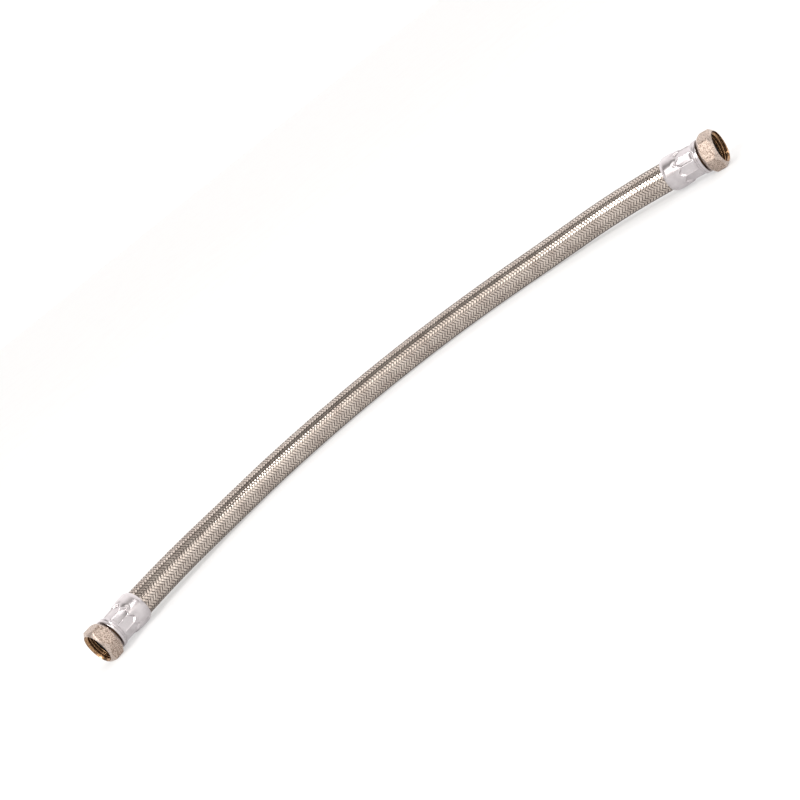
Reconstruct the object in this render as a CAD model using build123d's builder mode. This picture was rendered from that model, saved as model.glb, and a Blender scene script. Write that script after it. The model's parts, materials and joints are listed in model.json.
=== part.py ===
"""Braided supply line for a tap or a cistern, lying in a shallow bow on a table.

A rubber inner tube runs inside a woven steel braid. On each end the two are clamped between a
barbed brass stem and a crimped ferrule, and a hexagonal swivel nut with a flat gasket turns
freely on the stem's flange.

Millimetres, +Z up. The origin is on the table, z = 0, midway between the two end fittings. +X
runs along the line through the two nuts, and the bow opens towards -Y.
"""
import os
from math import acos, cos, pi, radians, tan

from build123d import *

# Hose: inner tube and the braid on it
hose_bore = 13.0
inner_tube_wall = 2.5
braid_thickness = 0.75

# Pipe thread in the nut
thread_major = 20.955
thread_pitch = 1.814
thread_depth_per_pitch = 0.6403
thread_length = 4.4

# Swivel nut around the thread
nut_wall = 1.5225
nut_back = 1.7
nut_mouth_depth = 1.0
nut_mouth_widening = 1.35
nut_bevel_height = 1.0
nut_bevel_slope = 1.0
nut_corner_turning = 0.4
groove_depth = 0.15
left_nut_turn = 0.0
right_nut_turn = -8.0

# Gasket and stem
gasket_thickness = 1.8
gasket_bore = 11.0
stem_bore = 10.0
flange_thickness = 1.7
flange_shoulder = 1.5
tube_stretch = 0.5
barb_depth = 0.5
barb_count = 3
barb_pitch = 5.0
shank_setback = 3.4

# Ferrule, from the nut to the hose: lip, crimped waist, shoulder and collar
ferrule_wall = 1.1
ferrule_front_wall = 1.7
lip_diameter = 22.7
lip_round = 0.6
lip_length = 5.3
lip_flare_length = 2.3
waist_length = 8.5
shoulder_length = 3.9
collar_length = 8.8
collar_curl_length = 2.1
mouth_wall = 0.8
crimp_squeeze = 0.8
collar_clearance = 0.95
mouth_clearance = 0.1

# Clearances
running_gap = 0.1
thread_clearance = 0.3
nut_gap = 1.1
nut_stop_gap = 0.2
neck_clearance = 0.4

# Radii and lengths that follow
inner_tube_radius = hose_bore / 2 + inner_tube_wall
hose_radius = inner_tube_radius + braid_thickness
thread_major_radius = thread_major / 2
thread_minor_radius = thread_major_radius - thread_depth_per_pitch * thread_pitch
groove_radius = thread_major_radius + groove_depth
nut_flat_radius = thread_major_radius + nut_wall
nut_corner_radius = nut_flat_radius / cos(radians(30))
nut_turned_radius = nut_corner_radius - nut_corner_turning
nut_face_radius = nut_flat_radius - nut_bevel_height
nut_mouth_radius = thread_minor_radius + nut_mouth_widening
nut_bevel_length = (nut_turned_radius - nut_face_radius) * nut_bevel_slope
insert_radius = thread_minor_radius - thread_clearance
neck_radius = insert_radius - flange_shoulder
shank_radius = hose_bore / 2 + tube_stretch
lip_radius = lip_diameter / 2
waist_inside = hose_radius - crimp_squeeze
waist_outside = waist_inside + ferrule_wall
collar_inside = hose_radius + collar_clearance
collar_outside = collar_inside + ferrule_wall
mouth_inside = hose_radius + mouth_clearance
mouth_outside = mouth_inside + mouth_wall
nut_play = nut_gap - nut_stop_gap

# Stations along a fitting, measured from the nut's open face towards the hose
thread_end = nut_mouth_depth + thread_length
gasket_front = thread_end + running_gap
flange_front = gasket_front + gasket_thickness + running_gap
flange_back = flange_front + flange_thickness
nut_back_front = flange_back + running_gap
nut_length = nut_back_front + nut_back
ferrule_front = nut_length + nut_gap
hose_end = ferrule_front + ferrule_front_wall
lip_end = ferrule_front + lip_length
waist_end = lip_end + waist_length
shoulder_end = waist_end + shoulder_length
ferrule_mouth = shoulder_end + collar_length
shank_end = ferrule_mouth - shank_setback


def rest_height(nut_turn):
    """Height of a fitting's axis above the table, on whichever of its nut and ferrule touches it.

    The nut is turned from resting on a flat, which ends where its corners are turned round.
    """
    half_flat = acos(nut_flat_radius / nut_turned_radius)
    nut_height = nut_turned_radius * cos(max(half_flat - radians(abs(nut_turn)), 0))
    return max(nut_height, collar_outside, lip_radius)


# Route of the hose's centreline, from the left ferrule's mouth to the right one's
left_height = rest_height(left_nut_turn)
right_height = rest_height(right_nut_turn)
lying_height = hose_radius
route = [
    (-218.5, 11.5, left_height),
    (-192.0, 30.5, left_height),
    (-145.0, 58.0, lying_height),
    (-101.0, 75.0, lying_height),
    (-54.5, 85.0, lying_height),
    (-6.0, 89.0, lying_height),
    (42.0, 86.5, lying_height),
    (90.0, 77.5, lying_height),
    (137.5, 61.5, lying_height),
    (190.5, 34.5, right_height),
    (219.0, 12.0, right_height),
]


def corner_radii(points):
    """Radius at each corner: 0.45 of the shorter run beside it, over tan of half the turn."""
    corners = [Vector(*point) for point in points]
    radii = []
    for before, corner, after in zip(corners, corners[1:], corners[2:]):
        arriving = corner - before
        leaving = after - corner
        half_turn = radians(arriving.get_angle(leaving)) / 2
        radii.append(0.45 * min(arriving.length, leaving.length) / tan(half_turn))
    return radii


class Fitting:
    """Frame of one end fitting, which lies in line with the hose's first or last run."""

    def __init__(self, name, mouth, next_point, nut_turn):
        inward = (Vector(*next_point) - Vector(*mouth)).normalized()
        face_centre = Vector(*mouth) - inward * ferrule_mouth
        up = Vector(0, 0, 1)
        self.name = name
        self.nut_turn = nut_turn
        # The nut's open face: x up, z into the hose
        self.face = Plane(origin=face_centre, x_dir=up, z_dir=inward)
        # A cut along the axis: x is the radius, y the distance from the nut's open face
        self.section = Plane(origin=face_centre, x_dir=up, z_dir=up.cross(inward))
        self.axis = Axis(face_centre, inward)


left_fitting = Fitting("left", route[0], route[1], left_nut_turn)
right_fitting = Fitting("right", route[-1], route[-2], right_nut_turn)
fittings = (left_fitting, right_fitting)


def save(builder, name):
    """Label a finished piece and write its STEP file."""
    builder.part.label = name
    export_step(builder.part, f"parts/{name}.step")


os.makedirs("parts", exist_ok=True)

# Centreline of the hose: straight runs joined by tangent arcs
radii = corner_radii(route)
with BuildLine() as hose_line:
    FilletPolyline(*route, radius=radii)
centreline = hose_line.wires()[0]
hose_start = Plane(origin=centreline @ 0, z_dir=centreline % 0)

# Inner tube: an extruded rubber tube, stretched over each stem and pinched by each crimp
with BuildPart() as inner_tube:
    with BuildSketch(hose_start):
        Circle(inner_tube_radius)
        Circle(hose_bore / 2, mode=Mode.SUBTRACT)
    sweep(path=centreline)
    free_tube_volume = inner_tube.part.volume
    for fitting in fittings:
        with BuildSketch(fitting.section):
            with BuildLine():
                Polyline(
                    (shank_radius, hose_end),
                    (inner_tube_radius - crimp_squeeze, hose_end),
                    (inner_tube_radius - crimp_squeeze, waist_end),
                    (inner_tube_radius, shoulder_end),
                    (inner_tube_radius, ferrule_mouth),
                    (hose_bore / 2, ferrule_mouth),
                    (hose_bore / 2, shank_end + tube_stretch),
                    (shank_radius, shank_end),
                    close=True,
                )
            make_face()
        revolve(axis=fitting.axis)
save(inner_tube, "inner_tube")

# Braid: a sleeve of woven stainless wire, here the plain tube that it fills
with BuildPart() as steel_braid:
    with BuildSketch(hose_start):
        Circle(hose_radius)
        Circle(inner_tube_radius, mode=Mode.SUBTRACT)
    sweep(path=centreline)
    free_braid_volume = steel_braid.part.volume
    for fitting in fittings:
        with BuildSketch(fitting.section):
            with BuildLine():
                Polyline(
                    (inner_tube_radius - crimp_squeeze, hose_end),
                    (hose_radius - crimp_squeeze, hose_end),
                    (hose_radius - crimp_squeeze, waist_end),
                    (hose_radius, shoulder_end),
                    (hose_radius, ferrule_mouth),
                    (inner_tube_radius, ferrule_mouth),
                    (inner_tube_radius, shoulder_end),
                    (inner_tube_radius - crimp_squeeze, waist_end),
                    close=True,
                )
            make_face()
        revolve(axis=fitting.axis)
save(steel_braid, "steel_braid")

for fitting in fittings:
    # Stem: turned brass, with a flange for the nut and barbs that hold the inner tube
    barbs = []
    for index in range(barb_count):
        barb_end = shank_end - (barb_count - 1 - index) * barb_pitch
        barbs.append((shank_radius - barb_depth, barb_end - barb_pitch + barb_depth))
        barbs.append((shank_radius, barb_end - barb_pitch + barb_depth))
        barbs.append((shank_radius - barb_depth, barb_end))
    with BuildPart() as stem:
        with BuildSketch(fitting.section):
            with BuildLine():
                Polyline(
                    (stem_bore / 2, flange_front),
                    (insert_radius, flange_front),
                    (insert_radius, flange_back),
                    (neck_radius, flange_back),
                    (neck_radius, ferrule_front),
                    (shank_radius, ferrule_front),
                    (shank_radius, hose_end),
                    (shank_radius - barb_depth, hose_end),
                    *barbs,
                    (stem_bore / 2, shank_end),
                    close=True,
                )
            make_face()
        revolve(axis=fitting.axis)
    save(stem, f"stem_{fitting.name}")

    # Ferrule: a drawn aluminium cup, crimped down on the hose behind its lip
    with BuildPart() as ferrule:
        with BuildSketch(fitting.section):
            with BuildLine():
                Polyline(
                    (shank_radius, ferrule_front),
                    (lip_radius - lip_round, ferrule_front),
                    (lip_radius, ferrule_front + lip_round),
                    (lip_radius, lip_end - lip_flare_length),
                    (waist_outside, lip_end),
                    (waist_outside, waist_end),
                    (collar_outside, shoulder_end),
                    (collar_outside, ferrule_mouth - collar_curl_length),
                    (mouth_outside, ferrule_mouth),
                    (mouth_inside, ferrule_mouth),
                    (collar_inside, ferrule_mouth - collar_curl_length),
                    (collar_inside, shoulder_end),
                    (waist_inside, waist_end),
                    (waist_inside, hose_end),
                    (shank_radius, hose_end),
                    close=True,
                )
            make_face()
        revolve(axis=fitting.axis)
    save(ferrule, f"ferrule_{fitting.name}")

    # Gasket: a flat rubber washer, held in the nut against the stem's flange
    with BuildPart() as gasket:
        with BuildSketch(fitting.face.offset(gasket_front)):
            Circle(insert_radius)
            Circle(gasket_bore / 2, mode=Mode.SUBTRACT)
        extrude(amount=gasket_thickness)
    save(gasket, f"gasket_{fitting.name}")

    # Swivel nut: a forged hexagon with turned corners and ends; its bore is at the thread's crests
    with BuildPart() as nut:
        with BuildSketch(fitting.face):
            RegularPolygon(nut_flat_radius, 6, major_radius=False, rotation=30 + fitting.nut_turn)
        extrude(amount=nut_length)
        with BuildSketch(fitting.section):
            with BuildLine():
                Polyline(
                    (0, 0),
                    (nut_face_radius, 0),
                    (nut_turned_radius, nut_bevel_length),
                    (nut_turned_radius, nut_length - nut_bevel_length),
                    (nut_face_radius, nut_length),
                    (0, nut_length),
                    close=True,
                )
            make_face()
        revolve(axis=fitting.axis, mode=Mode.INTERSECT)
        with BuildSketch(fitting.section):
            with BuildLine():
                Polyline(
                    (0, 0),
                    (nut_mouth_radius, 0),
                    (thread_minor_radius, nut_mouth_depth),
                    (thread_minor_radius, thread_end),
                    (groove_radius, thread_end),
                    (groove_radius, nut_back_front),
                    (neck_radius + neck_clearance, nut_back_front),
                    (neck_radius + neck_clearance, nut_length),
                    (0, nut_length),
                    close=True,
                )
            make_face()
        revolve(axis=fitting.axis, mode=Mode.SUBTRACT)
    save(nut, f"nut_{fitting.name}")


def annulus(outer, inner):
    """Area of a ring's section."""
    return pi * (outer**2 - inner**2)


print("corner radii:", [round(radius, 1) for radius in radii])
print("smallest corner radius in hose diameters:", round(min(radii) / (2 * hose_radius), 1))
print("hose between ferrules:", round(centreline.length, 2))
print("overall length:", round(centreline.length + 2 * ferrule_mouth, 2))
tube_section = annulus(inner_tube_radius, hose_bore / 2)
braid_section = annulus(hose_radius, inner_tube_radius)
print("inner tube, volume over section x length:", free_tube_volume / (tube_section * centreline.length))
print("braid, volume over section x length:", free_braid_volume / (braid_section * centreline.length))
for fitting in fittings:
    print(fitting.name, "nut face centre:", fitting.face.origin, "inward:", fitting.face.z_dir)
print("nut play:", round(nut_play, 3), "nut length:", round(nut_length, 3))
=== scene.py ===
"""Braided supply line on a pale table: the finished surfaces around its packed design.

Metres, +Z up, in the design's own frame. The sections follow the line as it is put together:
camera, rubber tube and braid, stems, gaskets, ferrules, swivel nuts, then table and light.
"""
import json
from math import pi, radians

import bpy
import numpy as np
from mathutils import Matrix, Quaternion, Vector


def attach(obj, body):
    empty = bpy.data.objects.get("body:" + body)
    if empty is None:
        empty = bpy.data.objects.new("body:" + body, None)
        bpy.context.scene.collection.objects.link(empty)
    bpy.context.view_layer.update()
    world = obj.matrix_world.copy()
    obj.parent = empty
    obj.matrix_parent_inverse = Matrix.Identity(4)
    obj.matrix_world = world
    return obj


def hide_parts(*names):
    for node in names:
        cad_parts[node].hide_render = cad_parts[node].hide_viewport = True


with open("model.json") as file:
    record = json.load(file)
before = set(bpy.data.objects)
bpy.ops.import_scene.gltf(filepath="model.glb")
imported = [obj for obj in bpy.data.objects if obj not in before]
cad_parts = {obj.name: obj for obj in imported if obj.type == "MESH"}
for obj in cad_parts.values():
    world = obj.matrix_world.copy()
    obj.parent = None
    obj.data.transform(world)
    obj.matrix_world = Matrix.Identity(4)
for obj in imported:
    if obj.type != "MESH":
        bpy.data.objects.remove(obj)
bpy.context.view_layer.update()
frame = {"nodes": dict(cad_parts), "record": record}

# Camera -----------------------------------------------------------------------------------------
# A long lens looks from in front of the line and a little above the table. It is tipped on its
# side, so that the line climbs across the view from the left nut to the right one.
camera_place = Vector((-0.0199, -0.7555, 0.2143))
camera_aim = Vector((-0.0059, 0.0439, 0.0))
camera_tip = radians(-38.6)
camera = bpy.data.objects.new("camera", bpy.data.cameras.new("camera"))
camera.data.lens = 55.7
camera.data.sensor_width = 36.0
camera.location = camera_place
level_look = (camera_aim - camera_place).to_track_quat("-Z", "Y")
camera.rotation_euler = (level_look @ Quaternion((0, 0, 1), camera_tip)).to_euler()
bpy.context.collection.objects.link(camera)
bpy.context.scene.camera = camera

# Rubber inner tube ------------------------------------------------------------------------------
# The water runs in an extruded black rubber tube. It lies in a shallow bow, and at each end it
# is pushed over a stem and pinched by the ferrule. It shows only between the wires of the braid.
mm = 0.001
route = [
    (-0.2185, 0.0115, 0.0120),
    (-0.1920, 0.0305, 0.0120),
    (-0.1450, 0.0580, 0.00975),
    (-0.1010, 0.0750, 0.00975),
    (-0.0545, 0.0850, 0.00975),
    (-0.0060, 0.0890, 0.00975),
    (0.0420, 0.0865, 0.00975),
    (0.0900, 0.0775, 0.00975),
    (0.1375, 0.0615, 0.00975),
    (0.1905, 0.0345, 0.01273),
    (0.2190, 0.0120, 0.01273),
]
points_per_span = 256
tube_radius = 9.0 * mm
tube_bore_radius = 6.5 * mm
tube_in_ferrule = 24.8 * mm
rings_along_tube = 240
points_round_tube = 48
rubber_black = (0.012, 0.012, 0.013, 1.0)
rubber_grey = (0.022, 0.021, 0.020, 1.0)


def smooth_line(control_points):
    """Points along the quadratic NURBS line that these control points pull, ends included."""
    curve = bpy.data.curves.new("hose_line", "CURVE")
    curve.dimensions = "3D"
    curve.resolution_u = points_per_span
    spline = curve.splines.new("NURBS")
    spline.points.add(len(control_points) - 1)
    for point, place in zip(spline.points, control_points):
        point.co = (*place, 1.0)
    spline.order_u = 3
    spline.use_endpoint_u = True
    holder = bpy.data.objects.new("hose_line", curve)
    line = bpy.data.meshes.new_from_object(holder)
    places = np.empty(3 * len(line.vertices))
    line.vertices.foreach_get("co", places)
    bpy.data.meshes.remove(line)
    bpy.data.objects.remove(holder)
    bpy.data.curves.remove(curve)
    return places.reshape(-1, 3)


def unit(vectors):
    """The same directions, each one long."""
    return vectors / np.linalg.norm(vectors, axis=-1, keepdims=True)


def full_turn(count):
    """Evenly spaced angles over one whole turn."""
    return np.linspace(0, 2 * pi, count, endpoint=False)


hose_line = smooth_line(route)
line_steps = np.linalg.norm(np.diff(hose_line, axis=0), axis=1)
line_distance = np.concatenate([[0.0], np.cumsum(line_steps)])
hose_length = line_distance[-1]
line_ahead = unit(np.gradient(hose_line, axis=0))
line_side = unit(np.cross((0.0, 0.0, 1.0), line_ahead))
line_up = np.cross(line_ahead, line_side)


def around_hose(distance, angle, radius):
    """Points round the hose: its line at a distance, plus radius x (cos angle x up + sin angle x side).

    Past either end of the line it goes on straight.
    """
    inside = np.clip(distance, 0.0, hose_length)
    past = (distance - inside)[..., None]

    def at(values):
        """Values of the hose line, read between its points at the distance."""
        return np.stack([np.interp(inside, line_distance, values[:, i]) for i in range(3)], axis=-1)

    up = at(line_up)
    side = at(line_side)
    outward = np.cos(angle)[..., None] * up + np.sin(angle)[..., None] * side
    return at(hose_line) + past * at(line_ahead) + radius[..., None] * outward


def grid_faces(rows, columns, close_rows, close_columns):
    """Corner numbers of the quads of a grid whose points are numbered row by row."""
    row = np.arange(rows if close_rows else rows - 1)[:, None]
    column = np.arange(columns if close_columns else columns - 1)[None, :]
    next_row = (row + 1) % rows
    next_column = (column + 1) % columns
    corners = [
        row * columns + column,
        row * columns + next_column,
        next_row * columns + next_column,
        next_row * columns + column,
    ]
    size = np.broadcast(row, column).shape
    return np.stack([np.broadcast_to(corner, size) for corner in corners], -1).reshape(-1, 4)


def add_piece(name, points, faces, finish):
    """A smooth piece from its points and faces, with a finish, turned so that its faces look outwards.

    The sign of its volume, the sum of the triangles' triple products, tells which way they look.
    """
    points = np.ascontiguousarray(points, float).reshape(-1, 3)
    first, second, third, fourth = (points[faces[:, i]] for i in range(4))
    volume = np.sum(np.cross(second - first, third - first) * first)
    volume += np.sum(np.cross(third - first, fourth - first) * first)
    if volume < 0:
        faces = faces[:, ::-1]
    mesh = bpy.data.meshes.new(name)
    mesh.vertices.add(len(points))
    mesh.vertices.foreach_set("co", points.ravel())
    mesh.loops.add(faces.size)
    mesh.loops.foreach_set("vertex_index", np.ascontiguousarray(faces, np.int32).ravel())
    mesh.polygons.add(len(faces))
    mesh.polygons.foreach_set("loop_start", np.arange(0, faces.size, 4, dtype=np.int32))
    mesh.polygons.foreach_set("use_smooth", np.ones(len(faces), bool))
    mesh.update(calc_edges=True)
    mesh.validate()
    mesh.materials.append(finish)
    piece = bpy.data.objects.new(name, mesh)
    bpy.context.collection.objects.link(piece)
    return piece


def new_finish(name, **shader_values):
    """A material with a Principled shader, its fixed values set on the shader's own sockets."""
    finish = bpy.data.materials.new(name)
    finish.use_nodes = True
    shader = finish.node_tree.nodes["Principled BSDF"]
    for socket, value in shader_values.items():
        shader.inputs[socket.replace("_", " ")].default_value = value
    return finish


def add_node(finish, kind, values=None, **settings):
    """A node of that kind, with its settings, and its sockets given numbers or wired to other outputs."""
    node = finish.node_tree.nodes.new("ShaderNode" + kind)
    for setting, value in settings.items():
        setattr(node, setting, value)
    for socket, value in (values or {}).items():
        if isinstance(value, bpy.types.NodeSocket):
            finish.node_tree.links.new(value, node.inputs[socket])
        else:
            node.inputs[socket].default_value = value
    return node


def wire_shader(finish, **outputs):
    """Wires node outputs to the Principled shader's sockets."""
    shader = finish.node_tree.nodes["Principled BSDF"]
    for socket, output in outputs.items():
        finish.node_tree.links.new(output, shader.inputs[socket.replace("_", " ")])


def object_noise(finish, grain, detail=3.0):
    """Noise in the piece's own space with lumps about one grain across."""
    place = add_node(finish, "TexCoord").outputs["Object"]
    noise = add_node(finish, "TexNoise", {"Vector": place, "Scale": 1.0 / grain, "Detail": detail})
    return noise.outputs["Fac"]


def colour_ramp(finish, factor, stops):
    """Colours blended between stops of (place, colour)."""
    ramp = add_node(finish, "ValToRGB", {"Fac": factor})
    while len(ramp.color_ramp.elements) < len(stops):
        ramp.color_ramp.elements.new(1.0)
    for element, (place, colour) in zip(ramp.color_ramp.elements, stops):
        element.position = place
        element.color = colour
    return ramp.outputs["Color"]


def mottle(finish, grain, first, second):
    """Two colours mixed in soft blotches about one grain across."""
    return colour_ramp(finish, object_noise(finish, grain), [(0.3, first), (0.7, second)])


def bump(finish, height, distance, strength=1.0):
    """Surface relief from a height of 0 to 1, with its real depth in metres."""
    relief = add_node(finish, "Bump", {"Height": height, "Distance": distance, "Strength": strength})
    return relief.outputs["Normal"]


tube_rubber = new_finish("tube_rubber", Roughness=0.7)
wire_shader(
    tube_rubber,
    Base_Color=mottle(tube_rubber, 3 * mm, rubber_black, rubber_grey),
    Normal=bump(tube_rubber, object_noise(tube_rubber, 0.3 * mm), 0.03 * mm),
)
tube_stations = np.concatenate([
    [-tube_in_ferrule],
    np.linspace(0, hose_length, rings_along_tube),
    [hose_length + tube_in_ferrule],
])
tube_outline = np.concatenate([
    np.stack([tube_stations, np.full_like(tube_stations, tube_radius)], -1),
    np.stack([tube_stations[::-1], np.full_like(tube_stations, tube_bore_radius)], -1),
])
tube_grid = (len(tube_outline), points_round_tube)
tube_points = around_hose(
    np.broadcast_to(tube_outline[:, :1], tube_grid),
    np.broadcast_to(full_turn(points_round_tube), tube_grid),
    np.broadcast_to(tube_outline[:, 1:], tube_grid),
)
rubber_tube = add_piece("rubber_tube", tube_points, grid_faces(*tube_grid, True, True), tube_rubber)
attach(rubber_tube, "hose")
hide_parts("inner_tube")

# Steel braid ------------------------------------------------------------------------------------
# Forty flat bands of fine stainless wires are plaited over the tube by a braiding machine, twenty
# wound each way. Each band passes over two bands and under two, so that rows of short slanted
# strokes run along the hose, leaning one way in one row and the other way in the next.
bands_each_way = 20
bands_in_a_piece = 8
braid_lay = 46.0 * mm
braid_middle_radius = 9.40 * mm
braid_in_ferrule = 2.0 * mm
band_width = 1.55 * mm
band_lift = 0.24 * mm
band_thickness = 0.18 * mm
band_underside = 0.64
band_uv_spacing = 10.0
wires_in_band = 6
wire_rise = 0.075 * mm
wire_tint_length = 25 * band_width
samples_per_wave = 7
stroke_steepness = 1.25
dull_wire = (0.42, 0.35, 0.31, 1.0)
bright_wire = (0.73, 0.65, 0.585, 1.0)
# Painted shade for the hollows where a band dives under others, and along its edges.
recess_painted_shade = (0.035, 0.028, 0.024, 1.0)

wire_turn = 2 * pi / braid_lay
wire_angle = np.arctan(braid_middle_radius * wire_turn)
wave_length = 2 * braid_lay / bands_each_way
band_samples = int(samples_per_wave * (hose_length + 2 * braid_in_ferrule) / wave_length)
across_top = np.linspace(-0.5, 0.5, 2 * wires_in_band + 1)
across_band = np.concatenate([across_top, [band_underside / 2, -band_underside / 2]])
wire_crests = 0.5 - 0.5 * np.cos(2 * pi * wires_in_band * (across_top + 0.5))
band_rise = np.concatenate([wire_crests * wire_rise, [-band_thickness, -band_thickness]])


def braid_band(index, way):
    """A band as a closed flat tube of wires, with its UV along and across it, and how high it lies.

    Its middle winds at angle = start + way x turn x distance. Its height follows a cosine of the
    number of bands it has crossed, two over and two under, and a cosine of its width for the wires.
    """
    along = np.linspace(-braid_in_ferrule, hose_length + braid_in_ferrule, band_samples)[:, None]
    offset = across_band[None, :] * band_width
    distance = along - way * np.sin(wire_angle) * offset
    angle = 2 * pi * index / bands_each_way + way * wire_turn * along
    angle = angle + np.cos(wire_angle) * offset / braid_middle_radius
    crossed = (angle + way * wire_turn * distance) * bands_each_way / (2 * pi)
    wave = way * np.cos(pi / 2 * (index + crossed - 0.5))
    lift = band_lift * np.sin(pi / 2 * np.clip(stroke_steepness * wave, -1, 1))
    radius = braid_middle_radius + lift + band_rise[None, :]
    band_uv = np.stack(np.broadcast_arrays(along / band_width, across_band[None, :] + 0.5), axis=-1)
    edge = np.abs(across_band[None, :]) * 2
    height_uv = np.stack(np.broadcast_arrays(0.5 + 0.5 * wave, edge), axis=-1)
    return around_hose(distance, angle, radius), band_uv, height_uv


def add_uv(piece, name, place_of_point):
    """A UV map that gives each point of a piece its own two values."""
    loop_points = np.empty(len(piece.data.loops), np.int32)
    piece.data.loops.foreach_get("vertex_index", loop_points)
    uv_map = piece.data.uv_layers.new(name=name)
    uv_map.data.foreach_set("uv", place_of_point[loop_points].ravel())


def wind_braid(number, bands, finish):
    """One piece of braid from several bands, each a grid that is closed across its width.

    Its second band values are spaced apart, so that no two bands wound one way share their tints.
    """
    points = []
    uvs = []
    heights = []
    faces = []
    columns = len(across_band)
    grid = grid_faces(band_samples, columns, False, True)
    for count, (index, way) in enumerate(bands):
        band_points, band_uv, height_uv = braid_band(index, way)
        if way < 0:
            grid_here = grid[:, ::-1]
        else:
            grid_here = grid
        points.append(band_points.reshape(-1, 3))
        uvs.append(band_uv.reshape(-1, 2) + (0.0, band_uv_spacing * (index + 0.5 * way)))
        heights.append(height_uv.reshape(-1, 2))
        faces.append(grid_here + count * band_samples * columns)
    piece = add_piece(
        f"steel_braid_bands_{number}", np.concatenate(points), np.concatenate(faces), finish
    )
    add_uv(piece, "band", np.concatenate(uvs))
    add_uv(piece, "height", np.concatenate(heights))
    return piece


def map_range(finish, value, from_range=(0.0, 1.0), to_range=(0.0, 1.0)):
    """A value carried in a straight line from one range to another, and held at its ends."""
    return add_node(finish, "MapRange", {
        "Value": value,
        "From Min": from_range[0],
        "From Max": from_range[1],
        "To Min": to_range[0],
        "To Max": to_range[1],
    }).outputs[0]


def calculate(finish, operation, *values):
    """The result of one sum on numbers or on other outputs."""
    return add_node(finish, "Math", dict(enumerate(values)), operation=operation).outputs[0]


def mix_colours(finish, factor, first, second):
    """A blend of two colours."""
    return add_node(finish, "Mix", {0: factor, 6: first, 7: second}, data_type="RGBA").outputs[2]


def uv_values(finish, name):
    """The two values of a UV map."""
    place = add_node(finish, "UVMap", uv_map=name).outputs["UV"]
    return add_node(finish, "SeparateXYZ", {0: place}).outputs


# Each wire keeps one tint for a stretch of its length, and the tints are soiled in blotches.
braid_steel = new_finish("braid_steel", Metallic=1.0)
band_place = add_node(braid_steel, "UVMap", uv_map="band").outputs["UV"]
wire_cells = (band_width / wire_tint_length, wires_in_band, 1.0)
wire_place = add_node(braid_steel, "Mapping", {"Vector": band_place, "Scale": wire_cells}).outputs[0]
wire_number = add_node(braid_steel, "VectorMath", {0: wire_place}, operation="FLOOR").outputs[0]
wire_tint = add_node(braid_steel, "TexWhiteNoise", {"Vector": wire_number}).outputs["Value"]
soiling = map_range(braid_steel, object_noise(braid_steel, 9 * mm), (0.3, 0.7), (0.0, 0.5))
wire_tone = calculate(braid_steel, "MULTIPLY_ADD", wire_tint, 0.5, soiling)
wire_colour = colour_ramp(braid_steel, wire_tone, [(0.0, dull_wire), (1.0, bright_wire)])

# A band keeps its wire colour where it lies high, and is painted with shade where it dives under other
# bands and along its edges.
lie = uv_values(braid_steel, "height")
unshaded_by_height = map_range(braid_steel, lie[0], (0.12, 0.72), (0.10, 1.0))
unshaded_by_width = map_range(braid_steel, lie[1], (0.65, 1.0), (1.0, 0.25))
unshaded = calculate(braid_steel, "MULTIPLY", unshaded_by_height, unshaded_by_width)
streak_scale = (1.5, 30.0, 1.0)
streak_place = add_node(braid_steel, "Mapping", {"Vector": band_place, "Scale": streak_scale})
wire_streaks = add_node(braid_steel, "TexNoise", {
    "Vector": streak_place.outputs[0],
    "Scale": 2.0,
    "Detail": 2.0,
}).outputs["Fac"]
wire_shader(
    braid_steel,
    Base_Color=mix_colours(braid_steel, unshaded, recess_painted_shade, wire_colour),
    Roughness=map_range(braid_steel, wire_streaks, to_range=(0.16, 0.32)),
    Normal=bump(braid_steel, wire_streaks, 0.01 * mm),
)
all_bands = [(index, way) for way in (1, -1) for index in range(bands_each_way)]
for first in range(0, len(all_bands), bands_in_a_piece):
    number = first // bands_in_a_piece + 1
    piece = wind_braid(number, all_bands[first:first + bands_in_a_piece], braid_steel)
    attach(piece, "hose")
    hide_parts("steel_braid")

# Stems ------------------------------------------------------------------------------------------
# A turned brass stem carries the water from the nut into the tube. Its brass is painted dark brown,
# as painted shade for the narrow gap behind the nut and the inside of the nut. Only its flange can
# be seen, deep in the nut, and its neck in the gap behind the nut.
# Painted shade: the brass is darkened to the tone of the shaded gap it sits in.
stem_shaded_brown = (0.16, 0.09, 0.05, 1.0)
stem_shaded_yellow = (0.26, 0.16, 0.08, 1.0)
stem_brass = new_finish("stem_brass", Metallic=1.0)
turning_lines = object_noise(stem_brass, 0.5 * mm, 4.0)
wire_shader(
    stem_brass,
    Base_Color=mottle(stem_brass, 4 * mm, stem_shaded_brown, stem_shaded_yellow),
    Roughness=map_range(stem_brass, turning_lines, to_range=(0.2, 0.45)),
    Normal=bump(stem_brass, turning_lines, 0.02 * mm),
)
for name in ("stem_left", "stem_right"):
    stem = frame["nodes"][name]
    stem.data.materials.clear()
    stem.data.materials.append(stem_brass)

# Gaskets ----------------------------------------------------------------------------------------
# A flat black rubber washer, stamped from sheet, is pressed into each nut and turns with it. It
# seals against the stem's flange.
gasket_front = 5.5 * mm
gasket_back = 7.3 * mm
gasket_radius = 9.016 * mm
gasket_bore_radius = 5.5 * mm
gasket_edge = 0.3 * mm
points_round_gasket = 96
gasket_black = (0.014, 0.013, 0.013, 1.0)
gasket_grey = (0.030, 0.028, 0.027, 1.0)


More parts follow.
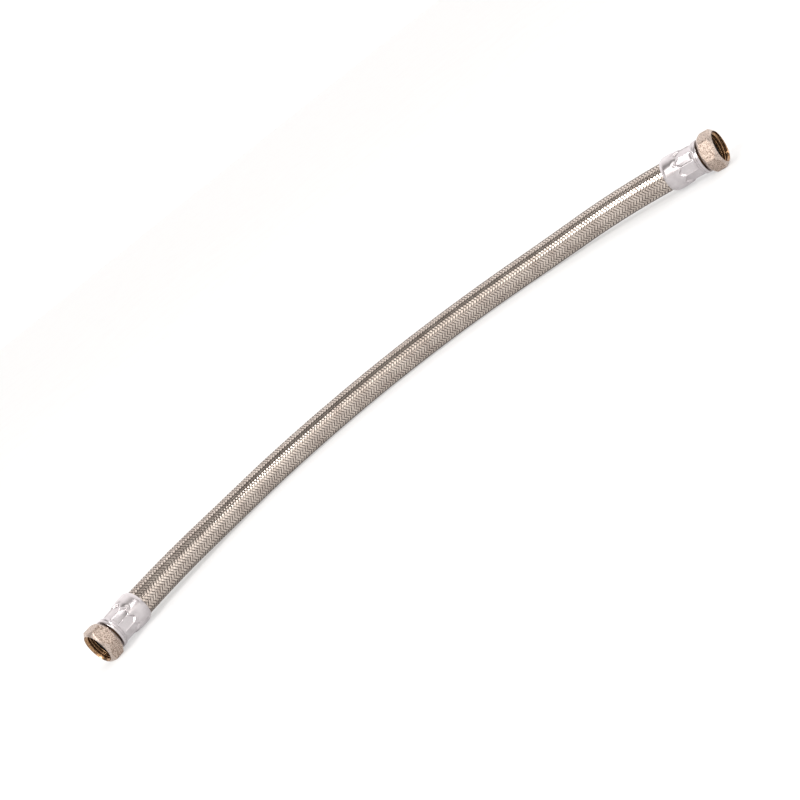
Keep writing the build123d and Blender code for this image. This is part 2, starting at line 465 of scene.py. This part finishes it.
class Fitting:
    """Axis of an end fitting, found from its threaded mount.

    Stations count inwards from the nut's open face, and the mount lies at the middle of the
    thread. Angles count from straight up.
    """

    thread_middle = 3.2 * mm

    def __init__(self, side):
        """The left or the right fitting."""
        mount = next(m for m in frame["record"]["mounts"] if m["name"] == "thread_" + side)
        self.side = side
        self.inward = -unit(np.array(mount["axis"], float))
        self.face = np.array(mount["pos_m"]) - self.inward * self.thread_middle
        self.up = np.array((0.0, 0.0, 1.0))
        self.across = np.cross(self.up, self.inward)

    def place(self, station, radius, angle):
        """Points at face centre + station x inward + radius x (cos angle x up + sin angle x across)."""
        outward = np.cos(angle)[..., None] * self.up + np.sin(angle)[..., None] * self.across
        return self.face + station[..., None] * self.inward + radius[..., None] * outward


fittings = [Fitting("left"), Fitting("right")]


def ring_corners(rows, angles):
    """An array of corner x angle x (station, radius), from rows that begin with these two.

    Each is one number, or an array with a number for each angle where the outline changes.
    """
    return np.stack([
        np.stack([np.broadcast_to(value, angles.shape) for value in row[:2]], -1) for row in rows
    ])


def rounded_outline(corners, setbacks, steps):
    """A closed outline with each corner swapped for a short curve (1-u)^2 A + 2u(1-u) P + u^2 B.

    P is the corner, and A and B lie a setback away from it along its two edges.
    """
    before = unit(np.roll(corners, 1, axis=0) - corners)
    after = unit(np.roll(corners, -1, axis=0) - corners)
    back = np.asarray(setbacks)[:, None, None]
    u = np.linspace(0, 1, steps)[None, :, None, None]
    start = (corners + before * back)[:, None]
    end = (corners + after * back)[:, None]
    curved = (1 - u) ** 2 * start + 2 * u * (1 - u) * corners[:, None] + u**2 * end
    return curved.reshape(-1, *corners.shape[1:])


def turn_outline(name, fitting, outline, angles, finish):
    """A closed ring-shaped piece: an outline carried round the fitting's axis, through these angles."""
    points = fitting.place(outline[..., 0], outline[..., 1], np.broadcast_to(angles, outline.shape[:2]))
    return add_piece(name, points, grid_faces(len(outline), len(angles), True, True), finish)


gasket_rubber = new_finish("gasket_rubber", Roughness=0.6)
wire_shader(
    gasket_rubber,
    Base_Color=mottle(gasket_rubber, 2 * mm, gasket_black, gasket_grey),
    Normal=bump(gasket_rubber, object_noise(gasket_rubber, 0.2 * mm), 0.02 * mm),
)
gasket_angles = full_turn(points_round_gasket)
gasket_rows = [
    (gasket_front, gasket_bore_radius),
    (gasket_front, gasket_radius),
    (gasket_back, gasket_radius),
    (gasket_back, gasket_bore_radius),
]
gasket_corners = ring_corners(gasket_rows, gasket_angles)
gasket_outline = rounded_outline(gasket_corners, [gasket_edge] * len(gasket_rows), steps=5)
for fitting in fittings:
    washer = turn_outline(
        f"rubber_washer_{fitting.side}", fitting, gasket_outline, gasket_angles, gasket_rubber
    )
    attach(washer, f"{fitting.side}_gasket")
    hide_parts(f"gasket_{fitting.side}")

# Ferrules ---------------------------------------------------------------------------------------
# A cup drawn from aluminium sheet, with two rings rolled behind its front face, is squeezed on the
# hose by a press with ten dies. Each leaves a flat, with thin fins between the flats and a step
# like a petal to the smooth collar, whose mouth is curled in.
ferrule_front = 12.0 * mm
ferrule_wall_back = 13.7 * mm
first_groove = 14.1 * mm
second_ring_front = 14.5 * mm
second_ring_back = 15.1 * mm
rings_foot = 15.9 * mm
lip_end = 17.3 * mm
waist_end = 25.8 * mm
shoulder_end = 29.7 * mm
curl_start = 36.4 * mm
ferrule_mouth = 38.5 * mm
ferrule_hole_radius = 7.0 * mm
lip_radius = 11.35 * mm
first_groove_radius = 10.75 * mm
second_ring_radius = 11.15 * mm
rings_foot_radius = 10.4 * mm
waist_radius = 10.05 * mm
waist_inside_radius = 8.95 * mm
collar_radius = 11.8 * mm
collar_inside_radius = 10.7 * mm
mouth_radius = 10.65 * mm
mouth_inside_radius = 9.85 * mm
crimp_dies = 10
crimp_turn = radians(18)
crimp_sharpness = 90
fin_height = 0.35 * mm
fin_width = radians(2.2)
scallop_reach = 1.3 * mm
scallop_at_shoulder = 0.3
petal_length = 0.9 * mm
petal_radius = 11.5 * mm
petal_foot_radius = 11.25 * mm
points_round_ferrule = 240
aluminium_dull = (0.50, 0.465, 0.475, 1.0)
aluminium_bright = (0.62, 0.585, 0.595, 1.0)


def soft_polygon(angle, sides, turn, sharpness):
    """Distance to a rounded polygon whose flats are one away from the axis.

    It is where the sum of the p-th powers of the distances towards each flat adds up to one.
    """
    flats = turn + 2 * pi * np.arange(sides) / sides
    towards = np.clip(np.cos(angle[:, None] - flats), 0, None)
    return np.sum(towards**sharpness, axis=1) ** (-1 / sharpness)


ferrule_aluminium = new_finish("ferrule_aluminium", Metallic=1.0)
handling_marks = object_noise(ferrule_aluminium, 1.2 * mm, 6.0)
wire_shader(
    ferrule_aluminium,
    Base_Color=mottle(ferrule_aluminium, 5 * mm, aluminium_dull, aluminium_bright),
    Roughness=map_range(ferrule_aluminium, handling_marks, (0.3, 0.7), (0.27, 0.36)),
    Normal=bump(ferrule_aluminium, handling_marks, 0.003 * mm),
)

# The waist's radius is a ten-sided polygon with a narrow bell curve on each ridge, for the fins.
ferrule_angles = full_turn(points_round_ferrule)
die_angle = 2 * pi / crimp_dies
from_ridge = (ferrule_angles - crimp_turn) % die_angle - die_angle / 2
fins = fin_height * np.exp(-(from_ridge / fin_width) ** 2)
die_flats = soft_polygon(ferrule_angles, crimp_dies, crimp_turn, crimp_sharpness)
crimped_radius = waist_radius * die_flats + fins
scallop = scallop_reach * np.cos(crimp_dies * (ferrule_angles - crimp_turn))
petal_top = waist_end + petal_length + scallop
petal_foot = waist_end + 2 * petal_length + scallop

# Each row is the station and radius of a corner, and its setback in millimetres.
ferrule_rows = [
    (ferrule_front, ferrule_hole_radius, 0.2),
    (ferrule_front, lip_radius, 0.6),
    (ferrule_wall_back, lip_radius, 0.3),
    (first_groove, first_groove_radius, 0.2),
    (second_ring_front, second_ring_radius, 0.3),
    (second_ring_back, second_ring_radius, 0.4),
    (rings_foot, rings_foot_radius, 0.5),
    (lip_end, crimped_radius, 0.5),
    (waist_end + scallop, crimped_radius, 0.5),
    (petal_top, petal_radius, 0.35),
    (petal_foot, petal_foot_radius, 0.4),
    (shoulder_end + scallop_at_shoulder * scallop, collar_radius, 0.9),
    (curl_start, collar_radius, 1.2),
    (ferrule_mouth, mouth_radius, 0.3),
    (ferrule_mouth, mouth_inside_radius, 0.3),
    (curl_start, collar_inside_radius, 0.6),
    (shoulder_end, collar_inside_radius, 0.6),
    (waist_end, waist_inside_radius, 0.6),
    (ferrule_wall_back, waist_inside_radius, 0.2),
    (ferrule_wall_back, ferrule_hole_radius, 0.2),
]
ferrule_setbacks = np.array([row[2] for row in ferrule_rows]) * mm
ferrule_corners = ring_corners(ferrule_rows, ferrule_angles)
ferrule_outline = rounded_outline(ferrule_corners, ferrule_setbacks, steps=6)
for fitting in fittings:
    shell = turn_outline(
        f"crimped_ferrule_{fitting.side}", fitting, ferrule_outline, ferrule_angles, ferrule_aluminium
    )
    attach(shell, "hose")
    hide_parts(f"ferrule_{fitting.side}")

# Swivel nuts ------------------------------------------------------------------------------------
# A forged brass hexagon with a pipe thread, blasted with grit and nickel plated. Its corners and
# bevels are turned afterwards and are smoother than its flats, and the bore shows brown brass.
nut_length = 10.9 * mm
nut_flat_radius = 12.0 * mm
nut_turned_radius = 13.456 * mm
nut_face_radius = 11.0 * mm
nut_sharpness = 160
nut_turns = {"left": radians(0.0), "right": radians(8.0)}
bevel_slope = 1.0
nut_mouth_radius = 10.67 * mm
mouth_cone_length = 1.5 * mm
thread_minor_radius = 9.316 * mm
thread_major_radius = 10.4775 * mm
thread_pitch = 1.814 * mm
thread_start = 1.0 * mm
thread_end = 5.4 * mm
groove_start = 5.6 * mm
groove_end = 9.2 * mm
groove_radius = 10.6275 * mm
rear_hole_radius = 7.916 * mm
points_round_nut = 288
rows_along_thread = 70
corner_steps = 4
on_flat = 0.0
on_bevel = 0.35
in_bore = 1.0
blast_brown = (0.20, 0.145, 0.115, 1.0)
blast_nickel = (0.60, 0.49, 0.42, 1.0)
bevel_dull = (0.50, 0.42, 0.37, 1.0)
bevel_bright = (0.64, 0.55, 0.50, 1.0)
bore_brown = (0.16, 0.085, 0.05, 1.0)
bore_yellow = (0.48, 0.30, 0.16, 1.0)

# The zone of the surface, from flat through bevel to bore, blends three finishes of one metal.
nut_nickel = new_finish("nut_nickel", Metallic=1.0)
grit = object_noise(nut_nickel, 0.75 * mm)
pits = object_noise(nut_nickel, 0.22 * mm, 2.0)
zone = uv_values(nut_nickel, "zone")[0]
smoothness = map_range(nut_nickel, zone, (0.1, 0.6))
brassiness = map_range(nut_nickel, zone, (0.7, 0.85))
blasted_colour = colour_ramp(nut_nickel, grit, [(0.38, blast_brown), (0.58, blast_nickel)])
bevel_colour = colour_ramp(nut_nickel, grit, [(0.3, bevel_dull), (0.7, bevel_bright)])
bore_colour = colour_ramp(nut_nickel, grit, [(0.35, bore_brown), (0.65, bore_yellow)])
plated_colour = mix_colours(nut_nickel, smoothness, blasted_colour, bevel_colour)
nut_grain = calculate(nut_nickel, "MULTIPLY", grit, pits)
nut_relief = map_range(nut_nickel, smoothness, to_range=(1.0, 0.1))
wire_shader(
    nut_nickel,
    Base_Color=mix_colours(nut_nickel, brassiness, plated_colour, bore_colour),
    Roughness=map_range(nut_nickel, smoothness, to_range=(0.42, 0.26)),
    Normal=bump(nut_nickel, nut_grain, 0.22 * mm, nut_relief),
)

# The thread's radius is a cosine of station / pitch + angle / turn, which makes it right-handed.
# It fades into the cone that is cut at the nut's mouth.
nut_angles = full_turn(points_round_nut)
thread_rows = np.linspace(thread_end, thread_start, rows_along_thread)[:, None]
thread_turns = thread_rows / thread_pitch + nut_angles / (2 * pi)
thread_depth = (0.5 - 0.5 * np.cos(2 * pi * thread_turns)) * (thread_major_radius - thread_minor_radius)
mouth_narrowing = (nut_mouth_radius - thread_minor_radius) * thread_rows / mouth_cone_length
thread_radius = np.maximum(thread_minor_radius + thread_depth, nut_mouth_radius - mouth_narrowing)
thread_outline = np.stack([np.broadcast_to(thread_rows, thread_radius.shape), thread_radius], -1)
for fitting in fittings:
    hexagon = soft_polygon(nut_angles, 6, nut_turns[fitting.side], nut_sharpness)
    nut_radius = np.minimum(nut_flat_radius * hexagon, nut_turned_radius)
    bevel_length = bevel_slope * (nut_radius - nut_face_radius)
    # Each row is the station and radius of a corner, its setback in millimetres, and the zones
    # before and after it.
    nut_rows = [
        (0.0, nut_mouth_radius, 0.05, in_bore, on_bevel),
        (0.0, nut_face_radius, 0.08, on_bevel, on_bevel),
        (bevel_length, nut_radius, 0.15, on_bevel, on_flat),
        (nut_length - bevel_length, nut_radius, 0.15, on_flat, on_bevel),
        (nut_length, nut_face_radius, 0.2, on_bevel, on_bevel),
        (nut_length, rear_hole_radius, 0.2, on_bevel, in_bore),
        (groove_end, rear_hole_radius, 0.2, in_bore, in_bore),
        (groove_end, groove_radius, 0.2, in_bore, in_bore),
        (groove_start, groove_radius, 0.1, in_bore, in_bore),
    ]
    nut_setbacks = np.array([row[2] for row in nut_rows]) * mm
    nut_outline = rounded_outline(ring_corners(nut_rows, nut_angles), nut_setbacks, corner_steps)
    outline = np.concatenate([nut_outline, thread_outline])
    zones = np.concatenate([np.linspace(row[3], row[4], corner_steps) for row in nut_rows])
    zones = np.concatenate([zones, np.full(rows_along_thread, in_bore)])
    nut = turn_outline(f"swivel_nut_{fitting.side}", fitting, outline, nut_angles, nut_nickel)
    zone_of_point = np.repeat(zones, points_round_nut)
    station_of_point = outline[..., 0].ravel() / nut_length
    add_uv(nut, "zone", np.stack([zone_of_point, station_of_point], -1))
    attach(nut, f"{fitting.side}_nut")
    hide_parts(f"nut_{fitting.side}")

# Table and light --------------------------------------------------------------------------------
# A plain table of white acrylic, lit a little from below. A wide soft panel and two soft boxes
# hang in front of the line and above it. The ceiling is dark, and low white walls stand all round.
table_ring_radii = [0.0001, 1.0, 3.0, 6.0]
points_round_table = 96
table_glow = 0.44
table_grey = (0.45, 0.45, 0.45, 1.0)
table_pale = (0.47, 0.47, 0.47, 1.0)
table = new_finish(
    "table_white", Roughness=0.9, Emission_Color=(1.0, 1.0, 1.0, 1.0), Emission_Strength=table_glow
)
wire_shader(table, Base_Color=mottle(table, 60 * mm, table_grey, table_pale))
table_angles = full_turn(points_round_table)
table_radius = np.array(table_ring_radii)[:, None]
table_points = np.stack(np.broadcast_arrays(
    table_radius * np.cos(table_angles),
    table_radius * np.sin(table_angles),
    0.0,
), -1)
table_faces = grid_faces(len(table_ring_radii), points_round_table, False, True)
floor = add_piece("floor", table_points, table_faces, table)

# The room's light by the angle up from the front, over the top and down to the back, in degrees.
studio_light = 2.4
studio_slant = radians(22)
studio_slant_start = -0.3
wall_top = (0.10, 0.18)
white_wall = (0.45, 0.45, 0.45, 1.0)
studio_bands = [
    (-180, (0.45, 0.45, 0.45, 1.0)),
    (0, (0.22, 0.20, 0.19, 1.0)),
    (18, (0.32, 0.295, 0.28, 1.0)),
    (30, (0.80, 0.785, 0.76, 1.0)),
    (52, (0.80, 0.785, 0.76, 1.0)),
    (66, (0.38, 0.36, 0.345, 1.0)),
    (76, (0.035, 0.032, 0.03, 1.0)),
    (92, (0.03, 0.028, 0.026, 1.0)),
    (104, (0.26, 0.25, 0.24, 1.0)),
    (122, (0.62, 0.605, 0.60, 1.0)),
    (180, (0.66, 0.65, 0.65, 1.0)),
]
studio = bpy.data.worlds.new("studio")
bpy.context.scene.world = studio
studio.use_nodes = True
view = add_node(studio, "TexCoord").outputs["Generated"]
direction = add_node(studio, "SeparateXYZ", {0: view}).outputs
towards_front = calculate(studio, "MULTIPLY", direction["Y"], -1.0)
height_angle = calculate(studio, "ARCTAN2", direction["Z"], towards_front)
sideways = calculate(studio, "SUBTRACT", direction["X"], studio_slant_start)
slanted_angle = calculate(studio, "MULTIPLY_ADD", sideways, studio_slant, height_angle)
studio_place = map_range(studio, slanted_angle, (-pi, pi))
band_stops = [((angle + 180) / 360, colour) for angle, colour in studio_bands]
band_colour = colour_ramp(studio, studio_place, band_stops)
near_horizon = map_range(studio, direction["Z"], wall_top, (1.0, 0.0))
studio_colour = mix_colours(studio, near_horizon, band_colour, white_wall)
background = studio.node_tree.nodes["Background"]
studio.node_tree.links.new(studio_colour, background.inputs["Color"])
background.inputs["Strength"].default_value = studio_light
for name, place, width, power in (
    ("soft_box_left", (-0.75, -0.75, 1.15), 0.30, 9.0),
    ("soft_box_right", (0.70, -0.60, 1.0), 0.25, 3.0),
):
    lamp = bpy.data.lights.new(name, "AREA")
    lamp.shape = "SQUARE"
    lamp.size = width
    lamp.energy = power
    soft_box = bpy.data.objects.new(name, lamp)
    soft_box.location = place
    soft_box.rotation_euler = (-Vector(place)).to_track_quat("-Z", "Y").to_euler()
    bpy.context.collection.objects.link(soft_box)
bpy.context.scene.view_settings.view_transform = "Standard"
